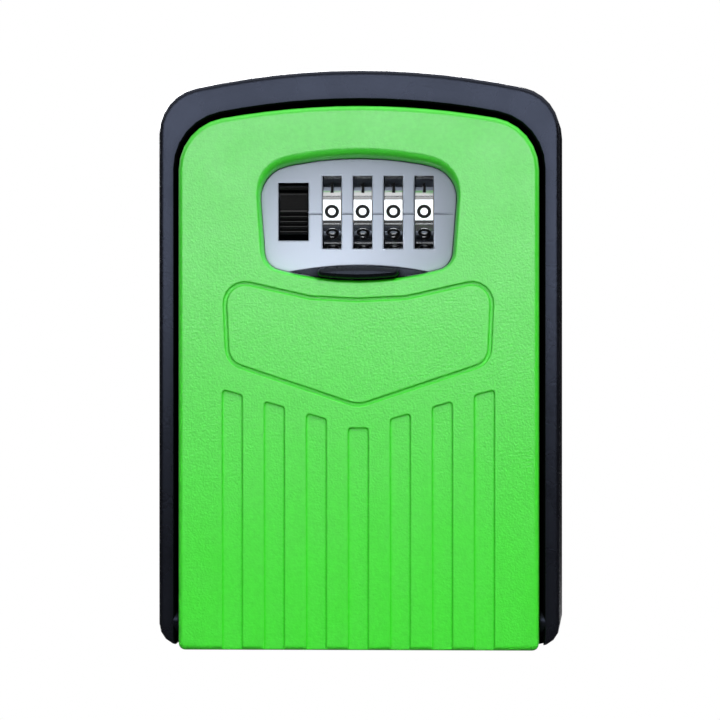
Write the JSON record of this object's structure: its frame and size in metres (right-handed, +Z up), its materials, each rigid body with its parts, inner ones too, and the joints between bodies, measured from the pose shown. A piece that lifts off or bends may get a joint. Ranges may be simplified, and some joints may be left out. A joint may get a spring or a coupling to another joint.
{
  "type": "combination lock box",
  "caption": "Wall-mounted key box with number dials, a slide release and a front door that hinges open at its foot.",
  "frame": {"origin": "centre of the four wall screw holes, on the wall plane at the back of the housing", "axes": "+Z up, +X to the right seen from the front, +Y into the wall; the door faces -Y"},
  "size_m": [0.1, 0.0516, 0.1443],
  "materials": {
    "housing_paint": "satin black paint on die-cast aluminium",
    "door_paint": "fine textured green paint on die-cast aluminium",
    "plate_silver": "satin silver paint",
    "black_plastic": "semi-gloss moulded plastic",
    "cover_black": "matt black coated steel sheet",
    "zinc": "bare die-cast zinc",
    "steel": "zinc-plated steel",
    "dial_chrome": "chrome plate with black filled digits",
    "brass": "turned brass"
  },
  "bodies": {
    "housing_body": {"housing": "housing_paint", "hinge_pin": "steel"},
    "door_body": {"door_cover": "door_paint", "dial_plate": "plate_silver", "finger_pull": "black_plastic", "lock_case": "zinc", "case_screws": "steel", "rear_cover": "cover_black", "rear_cover_screws": "steel", "detent_spring": "steel", "detent_screws": "steel", "reset_spring": "steel", "slider_spring": "steel", "bolt_spring": "steel"},
    "dial_body_1": {"dial_1": "dial_chrome"},
    "dial_body_2": {"dial_2": "dial_chrome"},
    "dial_body_3": {"dial_3": "dial_chrome"},
    "dial_body_4": {"dial_4": "dial_chrome"},
    "reset_carriage": {"code_shaft": "steel", "shaft_clip": "steel", "reset_lever": "black_plastic"},
    "sleeve_body_1": {"code_sleeve_1": "brass"},
    "sleeve_body_2": {"code_sleeve_2": "brass"},
    "sleeve_body_3": {"code_sleeve_3": "brass"},
    "sleeve_body_4": {"code_sleeve_4": "brass"},
    "slider_body": {"slider_button": "black_plastic", "fence_plate": "steel", "fence_screw": "steel"},
    "bolt_body": {"latch_bolt": "steel"}
  },
  "joints": [
    {"name": "door_swing", "type": "hinge", "parent": "housing_body", "child": "door_body", "pos_m": [0, -0.0425, -0.066], "axis": [1, 0, 0], "range_deg": [0, 90]},
    {"name": "dial_turn_1", "type": "hinge", "parent": "door_body", "child": "dial_body_1", "pos_m": [-0.00664, -0.03844, 0.0367], "axis": [1, 0, 0], "continuous": true, "deforming": ["detent_spring"]},
    {"name": "dial_turn_2", "type": "hinge", "parent": "door_body", "child": "dial_body_2", "pos_m": [0.00101, -0.03844, 0.0367], "axis": [1, 0, 0], "continuous": true, "deforming": ["detent_spring"]},
    {"name": "dial_turn_3", "type": "hinge", "parent": "door_body", "child": "dial_body_3", "pos_m": [0.00865, -0.03844, 0.0367], "axis": [1, 0, 0], "continuous": true, "deforming": ["detent_spring"]},
    {"name": "dial_turn_4", "type": "hinge", "parent": "door_body", "child": "dial_body_4", "pos_m": [0.01631, -0.03844, 0.0367], "axis": [1, 0, 0], "continuous": true, "deforming": ["detent_spring"]},
    {"name": "reset_shift", "type": "slide", "parent": "door_body", "child": "reset_carriage", "axis": [1, 0, 0], "range_m": [0, 0.0016], "stiffness_N_per_m": 400, "springref_m": -0.001, "deforming": ["reset_spring"]},
    {"name": "sleeve_turn_1", "type": "hinge", "parent": "reset_carriage", "child": "sleeve_body_1", "pos_m": [-0.00664, -0.03844, 0.0367], "axis": [1, 0, 0], "continuous": true},
    {"name": "sleeve_turn_2", "type": "hinge", "parent": "reset_carriage", "child": "sleeve_body_2", "pos_m": [0.00101, -0.03844, 0.0367], "axis": [1, 0, 0], "continuous": true},
    {"name": "sleeve_turn_3", "type": "hinge", "parent": "reset_carriage", "child": "sleeve_body_3", "pos_m": [0.00865, -0.03844, 0.0367], "axis": [1, 0, 0], "continuous": true},
    {"name": "sleeve_turn_4", "type": "hinge", "parent": "reset_carriage", "child": "sleeve_body_4", "pos_m": [0.01631, -0.03844, 0.0367], "axis": [1, 0, 0], "continuous": true},
    {"name": "slider_travel", "type": "slide", "parent": "door_body", "child": "slider_body", "axis": [0, 0, 1], "range_m": [-0.004, 0], "stiffness_N_per_m": 300, "springref_m": 0.002, "deforming": ["slider_spring"]},
    {"name": "bolt_travel", "type": "slide", "parent": "door_body", "child": "bolt_body", "axis": [0, 0, 1], "range_m": [0, 0.004], "deforming": ["bolt_spring"]}
  ],
  "couplings": [
    {"joint": "sleeve_turn_1", "follows": "dial_turn_1", "ratio": 1},
    {"joint": "sleeve_turn_2", "follows": "dial_turn_2", "ratio": 1},
    {"joint": "sleeve_turn_3", "follows": "dial_turn_3", "ratio": 1},
    {"joint": "sleeve_turn_4", "follows": "dial_turn_4", "ratio": 1}
  ]
}
